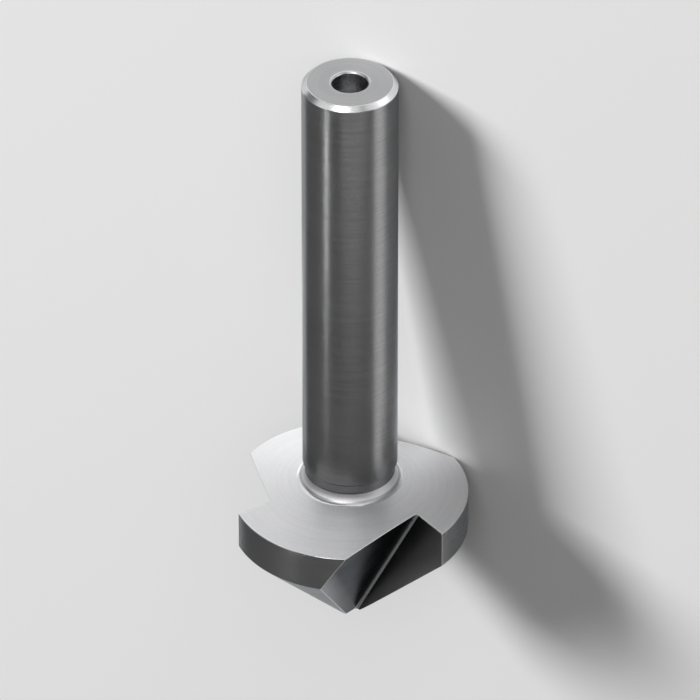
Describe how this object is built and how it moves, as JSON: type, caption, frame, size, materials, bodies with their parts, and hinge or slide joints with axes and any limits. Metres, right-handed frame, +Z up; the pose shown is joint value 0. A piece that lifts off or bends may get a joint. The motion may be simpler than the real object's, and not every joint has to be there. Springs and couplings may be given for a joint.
{
  "type": "chamfer mill",
  "caption": "Solid steel chamfer mill with a pointed 90 degree cutting head, straight V flutes, a short neck and a plain round shank.",
  "frame": {"origin": "middle of the bottom of the lying cutter's box, on the surface that it lies on", "axes": "+Z up; the cutter's axis lies in the XZ plane, from the point at -X to the lower shank end at +X"},
  "size_m": [0.0672, 0.025, 0.024],
  "materials": {
    "ground_steel": "fine ground and polished bare steel, satin on the shank"
  },
  "bodies": {
    "root": {"chamfer_mill": "ground_steel"}
  },
  "joints": []
}
